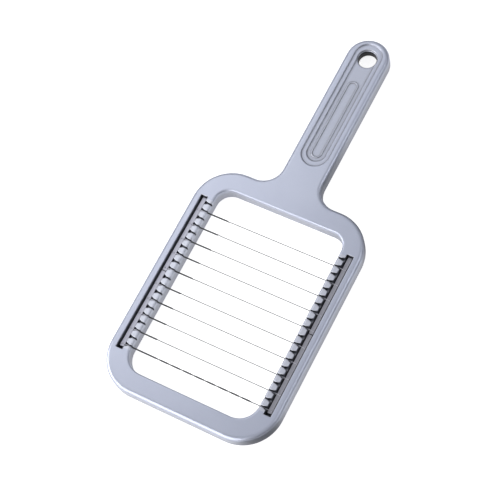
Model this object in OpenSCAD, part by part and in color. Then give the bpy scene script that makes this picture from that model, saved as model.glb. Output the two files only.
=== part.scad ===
// Wire butter slicer: a cast aluminium frame with a flat handle, ten steel
// cutting wires across the opening, and four steel bars, two in a pocket of
// each side rail, that the wires are looped round.
// Millimetres. X runs across, +Y toward the handle end, +Z out of the pocket
// side. The origin is the middle of the outer box, on the underside.

/* [Frame] */
// Length from the lower edge of the frame to the handle end
overall_l = 257; // [251:1:263]
// Width over the two side rails
frame_w = 108.8; // [107:0.2:112]
// Thickness of the casting
frame_t = 10; // [9:0.5:12]
// Radius of the four outer corners
corner_r = 24; // [20:1:26]
// Width of the bottom bar
bottom_bar_w = 12.6; // [11:0.1:15]
// Width of the top bar, opening to shoulder
top_bar_w = 12.8; // [11:0.1:15]
// Width of the opening
opening_w = 82; // [81:0.5:82.5]
// Length of the opening
opening_l = 121.2; // [120:0.2:125]
// Radius of the two opening corners nearest the handle
opening_top_r = 9; // [5:1:11]
// Radius of the two lower opening corners
opening_low_r = 12; // [8:1:14]
// Rounding of the upper outer edge
outer_edge_r = 2.5; // [1.5:0.1:3]
// Rounding of the upper edge of the opening
opening_edge_r = 1.2; // [0.6:0.1:1.5]
// Rounding of the edges on the underside
under_edge_r = 1.5; // [0.5:0.1:2]

/* [Handle] */
// Width of the handle
handle_w = 26.6; // [25.6:0.2:30]
// Radius where the handle runs out into the shoulders
handle_fillet_r = 12; // [8:1:16]
// Bore of the hanging hole
hole_d = 11; // [9:0.2:11.4]
// Rounding of the upper rim of the hanging hole
hole_edge_r = 0.8; // [0.3:0.1:1]
// Thickness of the web left between the two handle recesses
web_t = 4.8; // [4:0.1:5.6]
// Width of the wide upper recess
recess_w = 17.6; // [16.5:0.1:18.4]
// Depth of the wide upper recess
recess_depth = 0.8; // [0.5:0.1:1.2]
// Width of the narrow upper recess
inner_recess_w = 12.2; // [11.8:0.1:13]
// Depth of the narrow recess below the wide one
inner_recess_depth = 0.8; // [0.5:0.1:1.2]
// Sideways run of the sloping recess walls
recess_slope = 0.5; // [0.3:0.1:0.7]
// Shoulders to the middle of the lower round end of the wide recess
recess_start = 28.3; // [25:0.1:33]
// Lower round end of the narrow recess, further up than that of the wide one
inner_recess_start = 0.9; // [0:0.1:3]
// Upper round end of the wide recess, past the middle of the hanging hole
recess_past_hole = 1.3; // [0:0.1:1.6]
// Width of the raised bead line over its outside
bead_loop_w = 6.8; // [6:0.2:8]
// Upper round end of the bead line below the middle of the hanging hole
bead_below_hole = 20.2; // [16:0.1:30]
// Width of the bead itself
bead_w = 0.8; // [0.6:0.1:1.2]
// Height of the bead above the recess floor
bead_h = 0.4; // [0.2:0.1:0.6]

/* [Pockets and notches] */
// Width of the pocket in each side rail
pocket_w = 4.4; // [4.4:0.1:4.7]
// Wall between the opening and the pocket
comb_wall_t = 4.25; // [4:0.05:4.4]
// Depth of the pocket
pocket_depth = 6.5; // [5.5:0.1:7.5]
// Pitch of the notches
notch_pitch = 5; // [4.8:0.1:5.1]
// Middle of the comb below the middle of the opening
comb_drop = 0.4; // [0:0.1:1]
// Distance between the two middle notches
middle_pitch = 5.9; // [5.5:0.1:6.4]
// Width of a notch at the opening
notch_w = 1; // [1:0.05:1.4]
// Width of the flared mouth of a notch at the pocket
notch_mouth_w = 2.6; // [2:0.1:3]
// Length of the flare
notch_flare_l = 2; // [1.5:0.1:3]
// Pocket length beyond the first and the last notch
pocket_end = 3.7; // [3.4:0.1:4]

/* [Bars and wires] */
// Thickness of a bar
bar_w = 2.4; // [2.2:0.1:2.4]
// Depth of the bar tops below the face of the frame
bar_sink = 2.3; // [2:0.1:2.6]
// Room between the bars and the upper pocket end
bar_end_gap = 0.6; // [0.4:0.1:1]
// Room between the two bars of a rail
bar_middle_gap = 0.5; // [0.3:0.1:0.8]
// Length of a bar
bar_l = 50; // [49:0.1:50.2]
// Diameter of the cutting wire
wire_d = 0.5; // [0.4:0.05:0.5]
// Twisted end of a wire beyond the left rail
twist_l = 13; // [8:1:18]
// Length of one full turn of the twist
twist_lay = 5; // [4:0.5:8]

/* [Hidden] */
$fn = 64;

// Cutting allowance past a face
past = 1;
// Room kept round a wire
wire_room = 0.25;
// Notches in each of the two groups of a rail
group_n = 10;
// One wire sits in every second notch
wire_every_n = 2;
wires_n = 10;

low_y = -overall_l / 2;
end_y = overall_l / 2;
opening_low_y = low_y + bottom_bar_w;
opening_top_y = opening_low_y + opening_l;
shoulder_y = opening_top_y + top_bar_w;
half_w = frame_w / 2;
half_open = opening_w / 2;
half_handle = handle_w / 2;
hole_y = end_y - half_handle;
recess_y = shoulder_y + recess_start;
inner_recess_y = recess_y + inner_recess_start;
recess_floor_z = frame_t - recess_depth - inner_recess_depth;

// The comb of notches is centred a little below the middle of the opening
comb_y = (opening_low_y + opening_top_y) / 2 - comb_drop;
comb_half = middle_pitch / 2 + (group_n - 1) * notch_pitch;
pocket_top_y = comb_y + comb_half + pocket_end;
pocket_low_y = comb_y - comb_half - pocket_end;
pocket_x = half_open + comb_wall_t;
floor_z = frame_t - pocket_depth;

bar_x = pocket_x + (pocket_w - bar_w) / 2;
bar_h = pocket_depth - bar_sink;
bar_upper_y = pocket_top_y - bar_end_gap - bar_l;
bar_lower_y = bar_upper_y - bar_middle_gap - bar_l;

wire_z = frame_t - bar_sink + wire_room + wire_d / 2;
// The loop of a wire keeps this distance from the bar to the wire middle
loop_r = wire_room + wire_d / 2;
loop_low_z = floor_z + loop_r;
// Middle of each strand of a pair from the middle of the pair
strand_off = 0.48 * wire_d;
// Middle of the round bottom of a notch, at the lower strand of the pair
notch_z = wire_z - strand_off;
// Slot under a bar for the loop
slot_w = wire_d + 2 * wire_room;
slot_h = loop_r + wire_d / 2 + wire_room;

// Place of the notch with the given number, 0 next to the handle
function notch_y(i) = i < group_n
    ? comb_y + comb_half - i * notch_pitch
    : comb_y - middle_pitch / 2 - (i - group_n) * notch_pitch;
// Place of the wire with the given number, 1 next to the handle
function wire_y(k) = notch_y(k * wire_every_n - 1);

frame();
bar(-1, bar_upper_y);  // bar_left_upper
bar(-1, bar_lower_y);  // bar_left_lower
bar(1, bar_upper_y);  // bar_right_upper
bar(1, bar_lower_y);  // bar_right_lower
wire(1);  // wire_01
wire(2);  // wire_02
wire(3);  // wire_03
wire(4);  // wire_04
wire(5);  // wire_05
wire(6);  // wire_06
wire(7);  // wire_07
wire(8);  // wire_08
wire(9);  // wire_09
wire(10);  // wire_10

// Frame: one casting, both pockets and all notches cut in its upper face
module frame() {
    color([0.72, 0.74, 0.79])
    difference() {
        linear_extrude(frame_t) frame_outline();
        outer_edges(outer_edge_r, frame_t, 1);
        outer_edges(under_edge_r, 0, -1);
        opening_edges(opening_edge_r, frame_t, 1);
        opening_edges(under_edge_r, 0, -1);
        handle_recesses();
        for (side = [-1, 1]) {
            pocket(side);
            for (i = [0 : 2 * group_n - 1]) notch(side, notch_y(i));
        }
    }
    color([0.72, 0.74, 0.79]) bead();
}

// Outline of the casting seen from above
module frame_outline() {
    difference() {
        union() {
            translate([-half_w, low_y + corner_r])
                square([frame_w, shoulder_y - low_y - 2 * corner_r]);
            translate([-half_w + corner_r, low_y])
                square([frame_w - 2 * corner_r, shoulder_y - low_y]);
            for (side = [-1, 1]) {
                translate([side * (half_w - corner_r), low_y + corner_r]) circle(corner_r);
                translate([side * (half_w - corner_r), shoulder_y - corner_r]) circle(corner_r);
            }
            translate([-half_handle, shoulder_y - past])
                square([handle_w, hole_y - shoulder_y + past]);
            translate([0, hole_y]) circle(half_handle);
            for (side = [-1, 1]) handle_fillet(side);
        }
        opening_outline();
    }
}

// Web corner between the handle and a shoulder
module handle_fillet(side) {
    mirror([side < 0 ? 1 : 0, 0])
    difference() {
        translate([half_handle - past, shoulder_y - past])
            square(handle_fillet_r + past);
        translate([half_handle + handle_fillet_r, shoulder_y + handle_fillet_r])
            circle(handle_fillet_r);
    }
}

// Outline of the opening
module opening_outline() {
    difference() {
        translate([-half_open, opening_low_y]) square([opening_w, opening_l]);
        for (side = [-1, 1]) mirror([side < 0 ? 1 : 0, 0]) {
            corner_rest(half_open, opening_low_y, opening_low_r, 1);
            corner_rest(half_open, opening_top_y, opening_top_r, -1);
        }
    }
}

// What a rounded opening corner leaves standing
module corner_rest(x, y, r, up) {
    difference() {
        translate([x - r, up > 0 ? y - past : y - r]) square(r + past);
        translate([x - r, y + up * r]) circle(r);
    }
}

// Cutter that rounds a straight edge running along +Y from the origin,
// with the casting on the -X side and below
module edge_straight(l, r) {
    difference() {
        translate([-r, 0, -r]) cube([r + past, l, r + past]);
        translate([-r, -past, -r]) rotate([-90, 0, 0]) cylinder(h = l + 2 * past, r = r);
    }
}

// Cutter that rounds an outer edge bent to the given radius
module edge_arc(bend_r, r, angle) {
    rotate_extrude(angle = angle)
    difference() {
        translate([bend_r - r, -r]) square(r + past);
        translate([bend_r - r, -r]) circle(r);
    }
}

// The same for an edge that bends round the empty side
module edge_arc_inside(bend_r, r, angle) {
    rotate_extrude(angle = angle)
    difference() {
        translate([bend_r - past, -r]) square([r + past, r + past]);
        translate([bend_r + r, -r]) circle(r);
    }
}

// All outer edges, at the given height, with the cutters above or below it
module outer_edges(r, z, up) {
    translate([0, 0, z]) mirror([0, 0, up < 0 ? 1 : 0])
    for (side = [0, 1]) mirror([side, 0, 0]) {
        translate([0, low_y, 0]) rotate([0, 0, -90])
            edge_straight(half_w - corner_r, r);
        translate([half_w - corner_r, low_y + corner_r, 0]) rotate([0, 0, -90])
            edge_arc(corner_r, r, 90);
        translate([half_w, low_y + corner_r, 0])
            edge_straight(shoulder_y - low_y - 2 * corner_r, r);
        translate([half_w - corner_r, shoulder_y - corner_r, 0])
            edge_arc(corner_r, r, 90);
        translate([half_w - corner_r, shoulder_y, 0]) rotate([0, 0, 90])
            edge_straight(half_w - corner_r - half_handle - handle_fillet_r, r);
        translate([half_handle + handle_fillet_r, shoulder_y + handle_fillet_r, 0])
            rotate([0, 0, 180]) edge_arc_inside(handle_fillet_r, r, 90);
        translate([half_handle, shoulder_y + handle_fillet_r, 0])
            edge_straight(hole_y - shoulder_y - handle_fillet_r, r);
        translate([0, hole_y, 0]) edge_arc(half_handle, r, 90);
    }
}

// All edges of the opening
module opening_edges(r, z, up) {
    straight_l = opening_l - opening_top_r - opening_low_r;
    translate([0, 0, z]) mirror([0, 0, up < 0 ? 1 : 0])
    for (side = [0, 1]) mirror([side, 0, 0]) {
        translate([half_open - opening_low_r, opening_low_y, 0]) rotate([0, 0, 90])
            edge_straight(half_open - opening_low_r, r);
        translate([half_open - opening_low_r, opening_low_y + opening_low_r, 0])
            rotate([0, 0, -90]) edge_arc_inside(opening_low_r, r, 90);
        translate([half_open, opening_low_y + opening_low_r + straight_l, 0])
            rotate([0, 0, 180]) edge_straight(straight_l, r);
        translate([half_open - opening_top_r, opening_top_y - opening_top_r, 0])
            edge_arc_inside(opening_top_r, r, 90);
        translate([0, opening_top_y, 0]) rotate([0, 0, -90])
            edge_straight(half_open - opening_top_r, r);
    }
}

// Long recess with round ends and sloping walls, cut down from z
module long_recess(y0, y1, w, depth, z) {
    r = w / 2;
    low_r = r - recess_slope;
    translate([0, 0, z - depth]) {
        for (y = [y0, y1])
            translate([0, y, 0]) cylinder(h = depth, r1 = low_r, r2 = r);
        translate([0, y1, 0]) rotate([90, 0, 0]) linear_extrude(y1 - y0)
            polygon([[-low_r, 0], [low_r, 0], [r, depth], [-r, depth]]);
    }
}

// Recesses above and below the handle web, and the hanging hole
module handle_recesses() {
    long_recess(recess_y, hole_y + recess_past_hole, recess_w, recess_depth, frame_t);
    long_recess(inner_recess_y, hole_y, inner_recess_w, inner_recess_depth,
        frame_t - recess_depth);
    mirror([0, 0, 1])
        long_recess(recess_y, hole_y, recess_w, recess_floor_z - web_t, 0);
    translate([0, hole_y, -past]) cylinder(h = frame_t + 2 * past, d = hole_d);
    translate([0, hole_y, recess_floor_z]) edge_arc_inside(hole_d / 2, hole_edge_r, 360);
}

// Raised bead line on the floor of the narrow recess
module bead() {
    top_y = hole_y - bead_below_hole;
    translate([0, 0, recess_floor_z])
    difference() {
        bead_plate(bead_loop_w, inner_recess_y, top_y, 0, bead_h);
        bead_plate(bead_loop_w - 2 * bead_w, inner_recess_y, top_y, -past, bead_h + past);
    }
}

// Plate with two round ends
module bead_plate(w, y0, y1, z0, z1) {
    translate([0, 0, z0]) {
        for (y = [y0, y1]) translate([0, y, 0]) cylinder(h = z1 - z0, d = w);
        translate([-w / 2, y0, 0]) cube([w, y1 - y0, z1 - z0]);
    }
}

// Pocket in one side rail
module pocket(side) {
    translate([side > 0 ? pocket_x : -pocket_x - pocket_w, pocket_low_y, floor_z])
        cube([pocket_w, pocket_top_y - pocket_low_y, pocket_depth + past]);
}

// One notch: a round-bottomed slot, flared toward the pocket. The slot is cut
// from well inside the opening, so that it also passes a rounded corner.
module notch(side, y) {
    start_x = half_open - max(opening_low_r, opening_top_r);
    slot_l = pocket_x + past - start_x;
    mirror([side < 0 ? 1 : 0, 0, 0])
    translate([0, y, notch_z]) {
        translate([start_x, 0, 0]) rotate([0, 90, 0]) cylinder(h = slot_l, d = notch_w);
        translate([start_x, -notch_w / 2, 0]) cube([slot_l, notch_w, frame_t]);
        translate([pocket_x - notch_flare_l, 0, 0]) {
            rotate([0, 90, 0])
                cylinder(h = notch_flare_l, d1 = notch_w, d2 = notch_mouth_w);
            linear_extrude(frame_t)
                polygon([[0, -notch_w / 2], [notch_flare_l, -notch_mouth_w / 2],
                    [notch_flare_l, notch_mouth_w / 2], [0, notch_w / 2]]);
        }
    }
}

// One bar, slotted underneath where the wire loops pass
module bar(side, y0) {
    color([0.62, 0.62, 0.64])
    difference() {
        translate([side > 0 ? bar_x : -bar_x - bar_w, y0, floor_z]) cube([bar_w, bar_l, bar_h]);
        for (k = [1 : wires_n])
            if (wire_y(k) > y0 && wire_y(k) < y0 + bar_l)
                translate([side * (bar_x + bar_w / 2) - bar_w, wire_y(k) - slot_w / 2,
                    floor_z - past])
                    cube([2 * bar_w, slot_w, slot_h + past]);
    }
}

// One cutting wire: a loop round a bar at each end, both strands of the loop
// one above the other in the notch, and the left end twisted back in the opening
module wire(k) {
    color([0.5, 0.51, 0.53])
    translate([0, wire_y(k), 0]) {
        translate([-bar_x - bar_w, 0, wire_z]) rotate([0, 90, 0])
            cylinder(h = 2 * (bar_x + bar_w), d = wire_d);
        for (side = [0, 1]) mirror([side, 0, 0]) {
            wire_loop();
            for (up = [-1, 1]) translate([half_open, 0, wire_z + up * strand_off])
                rotate([0, 90, 0]) cylinder(h = comb_wall_t, d = wire_d);
        }
        translate([-half_open, 0, wire_z]) rotate([0, 90, 0]) twist(twist_l);
    }
}

// Quarter bend of wire in the XZ plane round the origin, from the given angle
module wire_bend(from) {
    rotate([90, 0, 0]) rotate([0, 0, from])
        rotate_extrude(angle = 90) translate([loop_r, 0]) circle(d = wire_d);
}

// Loop round a right-hand bar, open toward the notch
module wire_loop() {
    in_x = bar_x - loop_r;
    out_x = bar_x + bar_w + loop_r;
    up_z = wire_z - loop_r;
    turn_z = loop_low_z + loop_r;
    translate([bar_x + bar_w, 0, up_z]) wire_bend(0);
    translate([out_x, 0, turn_z]) cylinder(h = up_z - turn_z, d = wire_d);
    translate([bar_x + bar_w, 0, turn_z]) wire_bend(270);
    translate([bar_x, 0, loop_low_z]) rotate([0, 90, 0]) cylinder(h = bar_w, d = wire_d);
    translate([bar_x, 0, turn_z]) wire_bend(180);
    translate([in_x, 0, turn_z]) cylinder(h = up_z - turn_z, d = wire_d);
    translate([in_x - loop_r, 0, up_z]) wire_bend(0);
}

// Two strands twisted together, along +Z
module twist(l) {
    turns = l / twist_lay;
    linear_extrude(height = l, twist = 360 * turns, slices = ceil(8 * turns), $fn = 6)
    for (side = [-1, 1])
        translate([side * strand_off, 0]) circle(d = wire_d, $fn = 6);
}
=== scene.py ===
import math

import bpy
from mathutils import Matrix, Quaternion, Vector


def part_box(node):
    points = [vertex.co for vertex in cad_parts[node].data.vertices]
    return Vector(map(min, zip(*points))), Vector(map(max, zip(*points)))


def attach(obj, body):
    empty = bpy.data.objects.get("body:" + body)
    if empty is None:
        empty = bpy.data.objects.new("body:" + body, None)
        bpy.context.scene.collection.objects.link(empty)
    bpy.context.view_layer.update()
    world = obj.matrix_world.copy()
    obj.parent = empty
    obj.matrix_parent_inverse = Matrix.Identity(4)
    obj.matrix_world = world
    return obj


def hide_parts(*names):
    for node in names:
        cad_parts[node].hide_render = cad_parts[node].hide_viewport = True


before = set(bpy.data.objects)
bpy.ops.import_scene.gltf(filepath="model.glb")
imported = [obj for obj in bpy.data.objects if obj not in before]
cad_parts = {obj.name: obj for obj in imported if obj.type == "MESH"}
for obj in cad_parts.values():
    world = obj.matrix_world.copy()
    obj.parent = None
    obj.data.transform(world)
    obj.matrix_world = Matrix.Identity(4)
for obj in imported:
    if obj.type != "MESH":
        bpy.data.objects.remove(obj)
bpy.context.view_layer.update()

# The casting: frame and handle in one piece of aluminium, tumbled to an even satin skin
# with a very fine grain. Edges are rubbed brighter and the comb tops carry a painted
# highlight. The lower walls stay raw under a painted shade that deepens below the top
# face, and the inner corners, slots and hanging hole are darkened with painted shade.

casting_light = (0.620, 0.655, 0.775, 1)
casting_dark = (0.545, 0.575, 0.700, 1)
casting_rubbed = (0.740, 0.755, 0.820, 1)
# painted highlight on the comb tops, lighter than the flats around them
casting_comb_highlight = (0.690, 0.710, 0.800, 1)
# raw skin of the lower walls, mixed in more the deeper a point lies below the top face: a painted
# shade on walls and recess floors
casting_shaded_raw = (0.600, 0.620, 0.700, 1)
casting_shaded_raw_dark = (0.400, 0.408, 0.460, 1)
# painted shade in the inner corners, where the metal round them closes them in
casting_corner_shade = (0.200, 0.205, 0.235, 1)
# painted shade, near black, deep in the notch slots and on the hanging hole's wall
casting_slot_shade = (0.020, 0.020, 0.024, 1)

face_z = 0.010
hole_y = 0.1152
hole_wall_radius = 0.0057
comb_near_x = 0.0409
comb_far_x = 0.0454
comb_first_y = -0.0052
comb_last_y = -0.1062
notch_mouth_x = 0.0431
cloud_scale = 38.0
pit_scale_share = 0.33
grain_share = 0.6
grain_depth = 0.00002
edge_gain = 9.0
raw_patch_scale = 420.0
raw_patch_least = 0.8
raw_patch_swing = 0.4
corner_gain = 2.0
hole_wall_gain = 2.5


def group_sockets(group, inputs, outputs):
    for name, value in inputs:
        socket = group.interface.new_socket(name, in_out="INPUT", socket_type="NodeSocketFloat")
        socket.default_value = value
    for name in outputs:
        kind = "NodeSocketVector" if name == "Soft normal" else "NodeSocketFloat"
        group.interface.new_socket(name, in_out="OUTPUT", socket_type=kind)
    return group.nodes.new("NodeGroupInput"), group.nodes.new("NodeGroupOutput")


def math_node(tree, operation, first, second=0.0):
    node = tree.nodes.new("ShaderNodeMath")
    node.operation = operation
    for socket, value in zip(node.inputs, (first, second)):
        if isinstance(value, (int, float)):
            socket.default_value = value
        else:
            tree.links.new(value, socket)
    return node.outputs[0]


def vector_node(tree, operation, first, second):
    node = tree.nodes.new("ShaderNodeVectorMath")
    node.operation = operation
    tree.links.new(first, node.inputs[0])
    if isinstance(second, tuple):
        node.inputs[1].default_value = second
    else:
        tree.links.new(second, node.inputs[1])
    return node


def noise_node(tree, vector, scale, detail):
    node = tree.nodes.new("ShaderNodeTexNoise")
    node.inputs["Detail"].default_value = detail
    node.inputs["Roughness"].default_value = 0.6
    tree.links.new(vector, node.inputs["Vector"])
    if isinstance(scale, (int, float)):
        node.inputs["Scale"].default_value = scale
    else:
        tree.links.new(scale, node.inputs["Scale"])
    return node.outputs["Fac"]


def split(tree, vector):
    """The X, Y and Z outputs of a vector."""
    node = tree.nodes.new("ShaderNodeSeparateXYZ")
    tree.links.new(vector, node.inputs[0])
    return node.outputs


def object_place(tree):
    return tree.nodes.new("ShaderNodeTexCoord").outputs["Object"]


def cast_skin_group():
    """Fine even grain of a tumbled casting: broad tone, grain tone and grain height."""
    group = bpy.data.node_groups.new("cast_skin", "ShaderNodeTree")
    taken, given = group_sockets(group, [("Grain scale", 1400.0)], ["Cloud", "Grain", "Height"])
    place = object_place(group)
    cloud = noise_node(group, place, cloud_scale, detail=3.0)
    grain = noise_node(group, place, taken.outputs["Grain scale"], detail=2.0)
    pit_scale = math_node(group, "MULTIPLY", taken.outputs["Grain scale"], pit_scale_share)
    pits = noise_node(group, place, pit_scale, detail=2.0)
    height = math_node(group, "ADD", math_node(group, "MULTIPLY", grain, grain_share),
                       math_node(group, "MULTIPLY", pits, 1.0 - grain_share))
    group.links.new(cloud, given.inputs["Cloud"])
    group.links.new(grain, given.inputs["Grain"])
    group.links.new(height, given.inputs["Height"])
    return group


def rubbed_edge_group():
    """Mask of the edges that hands and cloths rub: 1 on an edge, 0 on flat metal."""
    group = bpy.data.node_groups.new("rubbed_edge", "ShaderNodeTree")
    taken, given = group_sockets(group, [("Reach", 0.0006), ("Patch scale", 260.0)],
                                 ["Mask", "Soft normal"])
    bevel = group.nodes.new("ShaderNodeBevel")
    bevel.samples = 6
    group.links.new(taken.outputs["Reach"], bevel.inputs["Radius"])
    geometry = group.nodes.new("ShaderNodeNewGeometry")
    turn = vector_node(group, "DOT_PRODUCT", bevel.outputs["Normal"], geometry.outputs["Normal"])
    turned = math_node(group, "SUBTRACT", 1.0, turn.outputs["Value"])
    edge = math_node(group, "MULTIPLY", turned, edge_gain)
    patch = noise_node(group, object_place(group), taken.outputs["Patch scale"], detail=3.0)
    mask = math_node(group, "MINIMUM", math_node(group, "MULTIPLY", edge, patch), 1.0)
    group.links.new(mask, given.inputs["Mask"])
    group.links.new(bevel.outputs["Normal"], given.inputs["Soft normal"])
    return group


def closed_in(group, distance):
    """How far the metal nearby closes a point in: 0 in the open, 1 deep in a slot."""
    shade = group.nodes.new("ShaderNodeAmbientOcclusion")
    shade.only_local = True
    shade.samples = 8
    group.links.new(distance, shade.inputs["Distance"])
    return math_node(group, "SUBTRACT", 1.0, shade.outputs["AO"])


def hollow_group():
    """Masks of raw skin with painted shade on the low walls, of painted shade in the inner corners,
    slots and hole, and of a painted highlight on the comb tops.
    """
    group = bpy.data.node_groups.new("hollow", "ShaderNodeTree")
    inputs = [("Fade depth", 0.0040), ("Slot depth", 0.006), ("Corner depth", 0.0018)]
    taken, given = group_sockets(group, inputs, ["Low", "Corner", "Slot", "Comb"])
    place = object_place(group)
    x, y, z = split(group, place)
    across = math_node(group, "ABSOLUTE", x)

    # painted shade over the raw skin: the lower a point lies below the top face, the more of the
    # darker raw tone it gets
    drop = math_node(group, "SUBTRACT", face_z, z)
    share = math_node(group, "DIVIDE", drop, taken.outputs["Fade depth"])
    patch = noise_node(group, place, raw_patch_scale, detail=2.0)
    uneven = math_node(group, "ADD", math_node(group, "MULTIPLY", patch, raw_patch_swing),
                       raw_patch_least)
    low = math_node(group, "MULTIPLY", share, uneven)
    low = math_node(group, "MAXIMUM", math_node(group, "MINIMUM", low, 1.0), 0.0)
    group.links.new(low, given.inputs["Low"])

    # painted shade: inner corners are darkened by how closely the metal round them closes them in
    corner = closed_in(group, taken.outputs["Corner depth"])
    corner = math_node(group, "MINIMUM", math_node(group, "MULTIPLY", corner, corner_gain), 1.0)
    group.links.new(corner, given.inputs["Corner"])

    # painted shade: the slots beyond the notch mouths and the wall of the hanging hole go near
    # black
    slot = math_node(group, "MULTIPLY", closed_in(group, taken.outputs["Slot depth"]),
                     math_node(group, "GREATER_THAN", across, notch_mouth_x))
    from_hole = math_node(group, "SUBTRACT", y, hole_y)
    squares = math_node(group, "ADD", math_node(group, "MULTIPLY", across, across),
                        math_node(group, "MULTIPLY", from_hole, from_hole))
    in_hole = math_node(group, "LESS_THAN", math_node(group, "SQRT", squares), hole_wall_radius)
    wall = math_node(group, "MINIMUM", math_node(group, "MULTIPLY", low, hole_wall_gain), 1.0)
    hole = math_node(group, "MULTIPLY", in_hole, wall)
    group.links.new(math_node(group, "MAXIMUM", slot, hole), given.inputs["Slot"])

    # painted highlight: the comb tops between the pocket and the opening are lightened
    comb = math_node(group, "SUBTRACT", 1.0, low)
    for side in (math_node(group, "GREATER_THAN", across, comb_near_x),
                 math_node(group, "LESS_THAN", across, comb_far_x),
                 math_node(group, "LESS_THAN", y, comb_first_y),
                 math_node(group, "GREATER_THAN", y, comb_last_y)):
        comb = math_node(group, "MULTIPLY", comb, side)
    group.links.new(comb, given.inputs["Comb"])
    return group


cast_skin = cast_skin_group()
rubbed_edge = rubbed_edge_group()
hollow = hollow_group()


def new_material(name):
    """A fresh material, with its node tree and its Principled shader."""
    material = bpy.data.materials.new(name)
    material.use_nodes = True
    return material, material.node_tree, material.node_tree.nodes["Principled BSDF"]


def place_group(tree, group, **values):
    node = tree.nodes.new("ShaderNodeGroup")
    node.node_tree = group
    for name, value in values.items():
        node.inputs[name.replace("_", " ")].default_value = value
    return node.outputs


def mix_colour(tree, factor, first, second):
    node = tree.nodes.new("ShaderNodeMix")
    node.data_type = "RGBA"
    tree.links.new(factor, node.inputs[0])
    for socket, value in ((node.inputs[6], first), (node.inputs[7], second)):
        if isinstance(value, tuple):
            socket.default_value = value
        else:
            tree.links.new(value, socket)
    return node.outputs[2]


def spread(tree, factor, at_zero, at_one, into):
    """Lets a mask or tone run a socket from one value, at 0, to another, at 1."""
    node = tree.nodes.new("ShaderNodeMapRange")
    node.inputs["To Min"].default_value = at_zero
    node.inputs["To Max"].default_value = at_one
    tree.links.new(factor, node.inputs["Value"])
    tree.links.new(node.outputs["Result"], into)


def raise_grain(tree, height, depth, into, over=None):
    bump = tree.nodes.new("ShaderNodeBump")
    bump.inputs["Strength"].default_value = 1.0
    bump.inputs["Distance"].default_value = depth
    if over is not None:
        tree.links.new(over, bump.inputs["Normal"])
    tree.links.new(height, bump.inputs["Height"])
    tree.links.new(bump.outputs["Normal"], into)


def cast_aluminium():
    material, tree, shader = new_material("cast_aluminium_satin")
    skin = place_group(tree, cast_skin, Grain_scale=1500.0)
    rub = place_group(tree, rubbed_edge, Reach=0.0009)
    reach = place_group(tree, hollow)
    tone = mix_colour(tree, skin["Cloud"], casting_dark, casting_light)
    shaded_raw_tone = mix_colour(tree, skin["Grain"], casting_shaded_raw_dark, casting_shaded_raw)
    # over the cloud tone go the raw skin with its painted shade, the rubbed edges, the painted
    # highlight of the comb tops, and the painted shade of corners, slots and hole
    for mask, over in ((reach["Low"], shaded_raw_tone), (rub["Mask"], casting_rubbed),
                       (reach["Comb"], casting_comb_highlight), (reach["Corner"], casting_corner_shade),
                       (reach["Slot"], casting_slot_shade)):
        tone = mix_colour(tree, mask, tone, over)
    tree.links.new(tone, shader.inputs["Base Color"])
    spread(tree, reach["Low"], at_zero=0.85, at_one=0.60, into=shader.inputs["Metallic"])
    spread(tree, skin["Grain"], at_zero=0.30, at_one=0.42, into=shader.inputs["Roughness"])
    raise_grain(tree, skin["Height"], grain_depth, shader.inputs["Normal"],
                over=rub["Soft normal"])
    return material


def dress(node, material):
    """Gives a solid its finish in place of the plain one that it came with."""
    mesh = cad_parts[node].data
    mesh.materials.clear()
    mesh.materials.append(material)


dress("frame", cast_aluminium())

# The bars: four of square drawn steel, loose in the pockets of the casting, two end to
# end in each. Drawing leaves fine lines along them. The right-hand pair gets a darker copy
# of the same steel's tone, a painted shade.

bar_light = (0.620, 0.620, 0.700, 1)
bar_dark = (0.480, 0.480, 0.560, 1)
# painted shade: a darker copy of the bar tone for the right-hand pair, the same steel
shaded_bar_light = (0.490, 0.485, 0.535, 1)
shaded_bar_dark = (0.340, 0.337, 0.375, 1)
line_depth = 0.000008


def drawn_lines_group():
    """Fine lines left by a drawing die: a noise stretched along the bar or wire."""
    group = bpy.data.node_groups.new("drawn_lines", "ShaderNodeTree")
    inputs = [("Along X", 0.0), ("Along Y", 0.0), ("Across", 3000.0)]
    taken, given = group_sockets(group, inputs, ["Line"])
    stretch = group.nodes.new("ShaderNodeCombineXYZ")
    for name, axis in (("Along X", "X"), ("Along Y", "Y"), ("Across", "Z")):
        group.links.new(taken.outputs[name], stretch.inputs[axis])
    scaled = vector_node(group, "MULTIPLY", object_place(group), stretch.outputs["Vector"])
    line = noise_node(group, scaled.outputs["Vector"], scale=1.0, detail=3.0)
    group.links.new(line, given.inputs["Line"])
    return group


drawn_lines = drawn_lines_group()


def drawn_steel(name, light, dark, along_x, along_y, across, smooth, rough):
    material, tree, shader = new_material(name)
    shader.inputs["Metallic"].default_value = 1.0
    lines = place_group(tree, drawn_lines, Along_X=along_x, Along_Y=along_y, Across=across)
    tree.links.new(mix_colour(tree, lines["Line"], dark, light), shader.inputs["Base Color"])
    spread(tree, lines["Line"], smooth, rough, shader.inputs["Roughness"])
    raise_grain(tree, lines["Line"], line_depth, shader.inputs["Normal"])
    return material


# the right-hand pair takes the darker, painted-shade copy of the tone
for side, light, dark in (("left", bar_light, bar_dark), ("right", shaded_bar_light, shaded_bar_dark)):
    steel = drawn_steel("bar_steel_" + side, light, dark, along_x=3200.0, along_y=60.0,
                        across=3200.0, smooth=0.34, rough=0.50)
    dress("bar_%s_upper" % side, steel)
    dress("bar_%s_lower" % side, steel)

# The wires: ten of 0.5 mm hard-drawn steel, each through its notches and round a bar at
# both ends, with its left end twisted back round itself beside the rail. The last one,
# at the bottom of the frame, is doubled nearly all the way across.

wire_light = (0.170, 0.170, 0.178, 1)
wire_dark = (0.060, 0.060, 0.065, 1)
wire_rubbed = (0.520, 0.520, 0.570, 1)

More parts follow.
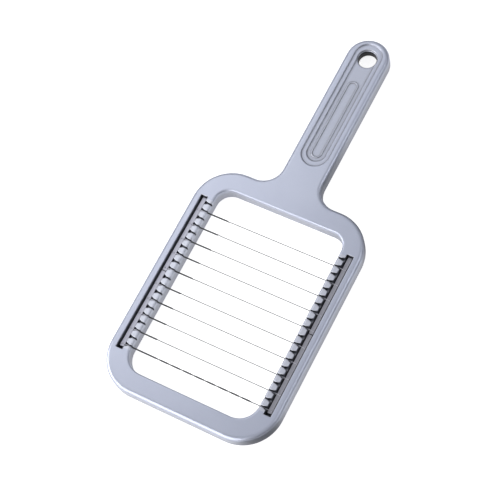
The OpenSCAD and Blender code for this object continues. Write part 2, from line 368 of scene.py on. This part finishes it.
wire_radius = 0.00025
ring_sides = 12
bend_steps = 4
strand_gap = 0.00023
strand_step = 0.00008
twist_turn = 0.0011
slack_turn = 0.0150
side_linger = 0.35
twist_lengths = (0.0135, 0.0120, 0.0125, 0.0105, 0.0115, 0.0095, 0.0100, 0.0110, 0.0105, 0.0135)
last_wire = len(twist_lengths)
last_wire_doubled = 0.0765
wire_z = 0.0082
notch_x = 0.0410
notch_entry = 0.0030
untwist_run = 0.0025
rise_run = 0.0020
end_tuck = 0.0004
bar_near_x = 0.04625
bar_far_x = 0.04865
bar_top_z = 0.0077
bar_clearance = 0.00006
loop_low_z = 0.0040
bright_from_x = 0.0411
bright_to_x = 0.0487


def bend_points(centre_x, centre_z, radius, from_angle, to_angle):
    """Quarter turn of wire in the XZ plane."""
    points = []
    for step in range(bend_steps + 1):
        angle = math.radians(from_angle + (to_angle - from_angle) * step / bend_steps)
        points.append(Vector((centre_x + radius * math.cos(angle), 0.0,
                              centre_z + radius * math.sin(angle))))
    return points


def loop_points():
    """From the lower strand in a right-hand notch, under the bar and back over it."""
    reach = wire_radius + bar_clearance
    low = wire_z - strand_gap
    turn_z = loop_low_z + reach
    inner = bend_points(bar_near_x - 2 * reach, low - reach, reach, 90, 0)
    under_near = bend_points(bar_near_x, turn_z, reach, 180, 270)
    under_far = bend_points(bar_far_x, turn_z, reach, 270, 360)
    over_far = bend_points(bar_far_x, bar_top_z, reach, 0, 90)
    over_near = Vector((bar_near_x, 0.0, bar_top_z + reach))
    mouth = Vector((notch_x + notch_entry, 0.0, wire_z + strand_gap))
    return inner + under_near + under_far + over_far + [over_near, mouth]


def lay_points(side, twist_length, doubled_length):
    """One strand of the doubled end, from the left notch: side -1 starts below, 1 above.
    The strands linger side by side and cross over quickly."""
    points = []
    steps = int(doubled_length / strand_step)
    for step in range(steps + 1):
        along = doubled_length * step / steps
        turns = min(along, twist_length) / twist_turn
        turns += max(along - twist_length, 0.0) / slack_turn
        angle = side * math.pi / 2 + 2 * math.pi * turns
        angle -= side_linger * math.sin(2 * angle)
        points.append(Vector((-notch_x + along, strand_gap * math.cos(angle),
                              wire_z + strand_gap * math.sin(angle))))
    return points


def wire_points(twist_length, doubled_length):
    """Centre line of a whole wire, from the cut end of its twist to its right end."""
    tail = lay_points(-1, twist_length, doubled_length)
    left_loop = [Vector((-p.x, p.y, p.z)) for p in loop_points()]
    span = lay_points(1, twist_length, doubled_length)
    span += [Vector((span[-1].x + untwist_run, 0.0, wire_z)),
             Vector((notch_x - rise_run, 0.0, wire_z)),
             Vector((notch_x, 0.0, wire_z + strand_gap))]
    right_end = [Vector((notch_x - end_tuck, 0.0, wire_z - strand_gap))]
    return tail[::-1] + left_loop + span + loop_points()[::-1] + right_end


def drawn_wire(name, points, y):
    """Sweeps a round section along the centre line, with closed ends."""
    verts, faces = [], []
    side = Vector((0, 1, 0))
    count = len(points)
    for i, point in enumerate(points):
        ahead = points[min(i + 1, count - 1)] - points[max(i - 1, 0)]
        ahead.normalize()
        side = (side - ahead * side.dot(ahead)).normalized()
        up = ahead.cross(side)
        for k in range(ring_sides):
            angle = 2 * math.pi * k / ring_sides
            out = side * math.cos(angle) + up * math.sin(angle)
            verts.append(point + out * wire_radius + Vector((0, y, 0)))
    for i in range(count - 1):
        for k in range(ring_sides):
            a = i * ring_sides + k
            b = i * ring_sides + (k + 1) % ring_sides
            faces.append((a, b, b + ring_sides, a + ring_sides))
    faces.append(tuple(reversed(range(ring_sides))))
    faces.append(tuple(range((count - 1) * ring_sides, count * ring_sides)))
    mesh = bpy.data.meshes.new(name)
    mesh.from_pydata(verts, [], faces)
    mesh.validate()
    for polygon in mesh.polygons:
        polygon.use_smooth = len(polygon.vertices) == 4
    wire = bpy.data.objects.new(name, mesh)
    bpy.context.scene.collection.objects.link(wire)
    return wire


def brighten_ends(material):
    """The combs and bars rub the wire bright where it lies in them."""
    tree = material.node_tree
    base = tree.nodes["Principled BSDF"].inputs["Base Color"]
    drawn_tone = base.links[0].from_socket
    across = math_node(tree, "ABSOLUTE", split(tree, object_place(tree))["X"])
    inside = math_node(tree, "MULTIPLY",
                       math_node(tree, "GREATER_THAN", across, bright_from_x),
                       math_node(tree, "LESS_THAN", across, bright_to_x))
    tree.links.new(mix_colour(tree, inside, drawn_tone, wire_rubbed), base)


wire_steel = drawn_steel("wire_steel_drawn", wire_light, wire_dark, along_x=90.0,
                         along_y=5200.0, across=5200.0, smooth=0.26, rough=0.44)
brighten_ends(wire_steel)
for number, twist_length in enumerate(twist_lengths, start=1):
    node = "wire_%02d" % number
    low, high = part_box(node)
    doubled_length = last_wire_doubled if number == last_wire else twist_length
    wire = drawn_wire("drawn_" + node, wire_points(twist_length, doubled_length),
                      (low.y + high.y) / 2)
    wire.data.materials.append(wire_steel)
    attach(wire, "root")
    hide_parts(node)

# Floor and lighting: a plain pale floor, a low soft box on the left that fades the flats
# from left to right, and soft lights in front and on the left for the bright edges. The
# air is dark near the horizon, which darkens the roundings.

floor_pale = (0.80, 0.80, 0.80, 1)
floor_shaded = (0.06, 0.06, 0.06, 1)
floor_size = 6.0
floor_z = -0.0002
floor_glow = 0.80
mirrored_glow = 0.48
shade_core = 0.4
# two spots of painted shade that only reflections see: behind the right shoulder and at the lower
# right corner, where the part's own shade would fall
floor_shades = (((0.047, 0.036, 0.0), 0.045), ((0.064, -0.128, 0.0), 0.034))
air_colour = (0.94, 0.96, 1.0, 1)
air_glow = 0.46
dim_side = (0.77, -0.62, -0.15)
dim_side_glow = 0.12
horizon_share = 0.04
sky_cool = (0.93, 0.95, 1.0)
back_cool = (0.95, 0.97, 1.0)


def smooth_range(tree, value, start, end, low=0.0, high=1.0):
    node = tree.nodes.new("ShaderNodeMapRange")
    node.interpolation_type = "SMOOTHSTEP"
    for socket, number in (("From Min", start), ("From Max", end),
                           ("To Min", low), ("To Max", high)):
        node.inputs[socket].default_value = number
    tree.links.new(value, node.inputs["Value"])
    return node.outputs["Result"]


def studio_floor():
    """White to the camera, dimmer in reflections, and with a painted shade there at two spots."""
    bpy.ops.mesh.primitive_plane_add(size=floor_size, location=(0, 0, floor_z))
    floor = bpy.context.object
    floor.name = "floor"
    material, tree, shader = new_material("pale_floor")
    shader.inputs["Roughness"].default_value = 0.9
    shader.inputs["Specular IOR Level"].default_value = 0.1
    shader.inputs["Emission Color"].default_value = (1, 1, 1, 1)
    rays = tree.nodes.new("ShaderNodeLightPath").outputs
    place = object_place(tree)
    open_floor = 1.0
    for spot, reach in floor_shades:
        away = vector_node(tree, "DISTANCE", place, spot).outputs["Value"]
        open_floor = math_node(tree, "MULTIPLY", open_floor,
                               smooth_range(tree, away, shade_core * reach, reach))
    mirrored = math_node(tree, "MULTIPLY", rays["Is Glossy Ray"],
                         math_node(tree, "MULTIPLY", open_floor, mirrored_glow))
    seen = math_node(tree, "ADD", mirrored, rays["Is Camera Ray"])
    spread(tree, seen, at_zero=0.0, at_one=floor_glow, into=shader.inputs["Emission Strength"])
    # painted shade: reflections see a dark floor at the two spots
    shaded = math_node(tree, "MULTIPLY", math_node(tree, "SUBTRACT", 1.0, open_floor),
                       rays["Is Glossy Ray"])
    tree.links.new(mix_colour(tree, shaded, floor_pale, floor_shaded),
                   shader.inputs["Base Color"])
    floor.data.materials.append(material)


def soft_light(name, place, aim, size, watts, colour=(1.0, 1.0, 1.0)):
    lamp = bpy.data.lights.new(name, "AREA")
    lamp.shape = "RECTANGLE"
    lamp.size, lamp.size_y = size
    lamp.energy = watts
    lamp.color = colour
    stand = bpy.data.objects.new(name, lamp)
    stand.location = place
    stand.rotation_euler = (Vector(aim) - Vector(place)).to_track_quat("-Z", "Y").to_euler()
    bpy.context.scene.collection.objects.link(stand)


def studio_air():
    """Bright above, dark at the horizon, dimmer at the right front, white to the camera."""
    world = bpy.data.worlds.new("studio_air")
    world.use_nodes = True
    tree = world.node_tree
    way = tree.nodes.new("ShaderNodeTexCoord").outputs["Generated"]
    to_dim = vector_node(tree, "DOT_PRODUCT", way, dim_side).outputs["Value"]
    glow = math_node(tree, "MULTIPLY",
                     smooth_range(tree, to_dim, start=0.35, end=1.0,
                                  low=air_glow, high=dim_side_glow),
                     smooth_range(tree, split(tree, way)["Z"], start=0.10, end=0.50,
                                  low=horizon_share))
    rays = tree.nodes.new("ShaderNodeLightPath").outputs
    background = tree.nodes["Background"]
    background.inputs["Color"].default_value = air_colour
    tree.links.new(math_node(tree, "MAXIMUM", rays["Is Camera Ray"], glow),
                   background.inputs["Strength"])
    bpy.context.scene.world = world


studio_floor()
soft_light("overhead", (-0.75, 0.85, 1.50), (0, 0, 0), size=(2.0, 1.6), watts=0.7, colour=sky_cool)
soft_light("side_box", (-0.33, 0.16, 0.36), (-0.33, 0.16, 0), size=(0.46, 0.50), watts=0.49)
soft_light("far_right", (0.95, 0.47, 1.08), (0, 0, 0), size=(0.7, 0.5), watts=1.8, colour=back_cool)
soft_light("near_left", (-0.72, -0.34, 0.34), (-0.03, -0.07, 0), size=(0.5, 0.4), watts=2.4)
soft_light("low_front", (-0.30, -1.15, 0.56), (0, 0, 0), size=(1.4, 1.0), watts=9.5)
studio_air()

# Camera: high over the lower right corner, looking down across the frame as the photo
# does. Its place, turn and lens were solved from the notches of both combs.

eye = bpy.data.cameras.new("camera")
eye.sensor_width = 36.0
eye.lens = 106.261
eye.clip_start = 0.01
camera = bpy.data.objects.new("camera", eye)
camera.rotation_mode = "QUATERNION"
camera.location = (0.25987, -0.26885, 0.77006)
camera.rotation_quaternion = Quaternion((0.950845, 0.181493, 0.125002, 0.217552))
bpy.context.scene.collection.objects.link(camera)
bpy.context.scene.camera = camera
bpy.context.scene.view_settings.view_transform = "Standard"
